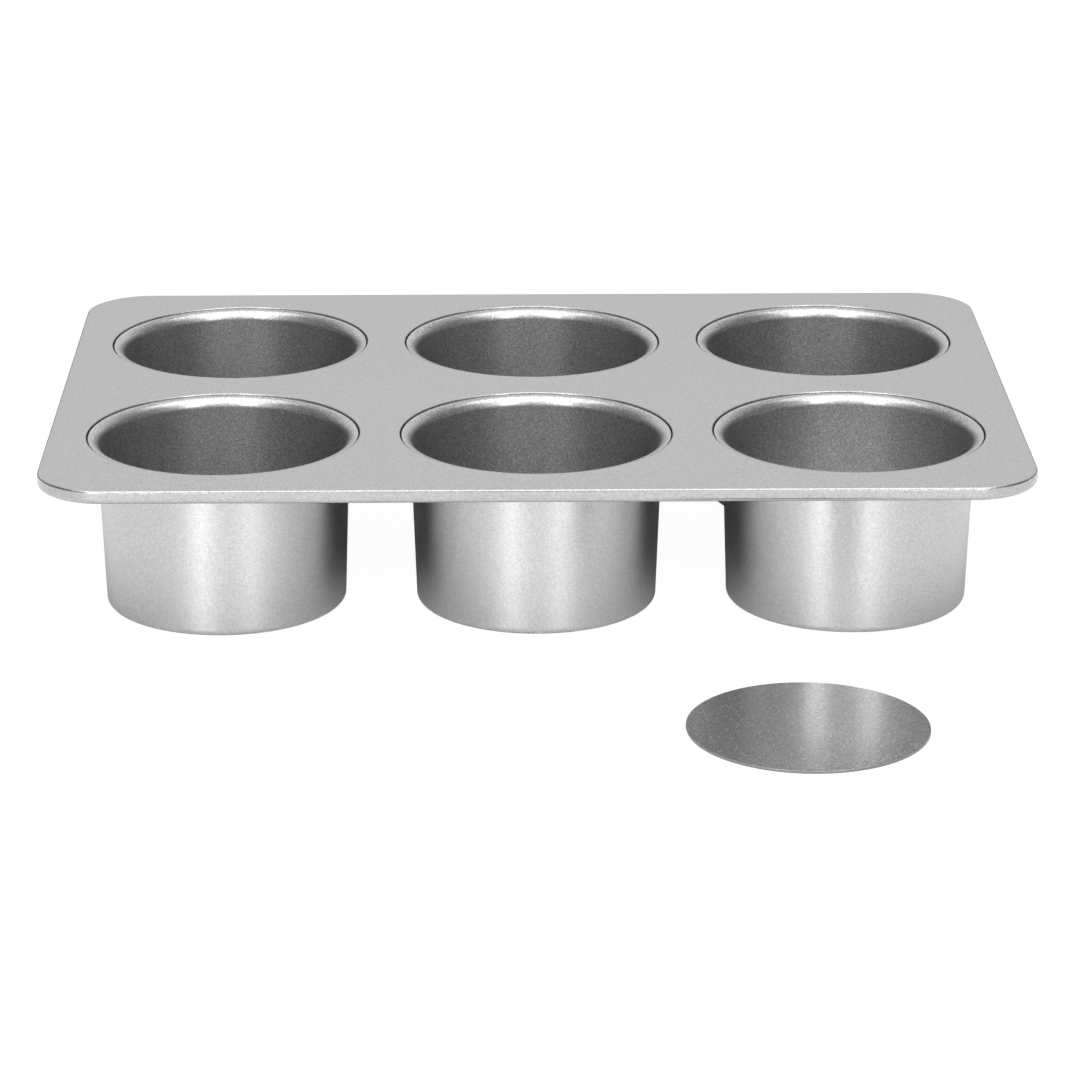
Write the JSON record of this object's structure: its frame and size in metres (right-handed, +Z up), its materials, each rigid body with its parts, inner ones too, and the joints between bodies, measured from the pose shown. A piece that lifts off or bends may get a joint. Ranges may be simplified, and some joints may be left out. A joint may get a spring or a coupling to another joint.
{
  "type": "mini cheesecake pan",
  "caption": "Flat coated-steel baking tray with a rolled wired rim that carries straight round cups with loose lift-out bases; a base lies taken out in front.",
  "frame": {"origin": "on the table under the feet, midway between left and right, and midway between the tray's back edge and the front edge of the loose base", "axes": "+Z up out of the cups, +X to the right along a row of cups, +Y from the loose base to the back row"},
  "size_m": [0.287, 0.2956, 0.051],
  "materials": {
    "tray_coating": "satin silver-grey non-stick coating with fine metallic sparkle",
    "cup_coating": "satin silver-grey non-stick coating with fine metallic sparkle",
    "base_coating": "smoother silver-grey non-stick coating with fine metallic sparkle",
    "wire_steel": "plain drawn steel wire"
  },
  "bodies": {
    "pan": {"tray_frame": "tray_coating", "rim_wire": "wire_steel", "cup_front_left": "cup_coating", "cup_front_middle": "cup_coating", "cup_front_right": "cup_coating", "cup_back_left": "cup_coating", "cup_back_middle": "cup_coating", "cup_back_right": "cup_coating"},
    "base_front_left": {"base_front_left": "base_coating"},
    "base_front_middle": {"base_front_middle": "base_coating"},
    "base_front_right": {"base_front_right": "base_coating"},
    "base_back_left": {"base_back_left": "base_coating"},
    "base_back_middle": {"base_back_middle": "base_coating"},
    "base_back_right": {"base_back_right": "base_coating"}
  },
  "joints": [
    {"name": "lift_front_left", "type": "slide", "parent": "pan", "child": "base_front_left", "axis": [0, 0, 1], "range_m": [0, 0.07]},
    {"name": "lift_front_middle", "type": "slide", "parent": "pan", "child": "base_front_middle", "axis": [0, 0, 1], "range_m": [0, 0.07]},
    {"name": "lift_front_right", "type": "slide", "parent": "pan", "child": "base_front_right", "axis": [0, 0, 1], "range_m": [0, 0.09]},
    {"name": "lift_back_left", "type": "slide", "parent": "pan", "child": "base_back_left", "axis": [0, 0, 1], "range_m": [0, 0.07]},
    {"name": "lift_back_middle", "type": "slide", "parent": "pan", "child": "base_back_middle", "axis": [0, 0, 1], "range_m": [0, 0.07]},
    {"name": "lift_back_right", "type": "slide", "parent": "pan", "child": "base_back_right", "axis": [0, 0, 1], "range_m": [0, 0.07]}
  ]
}
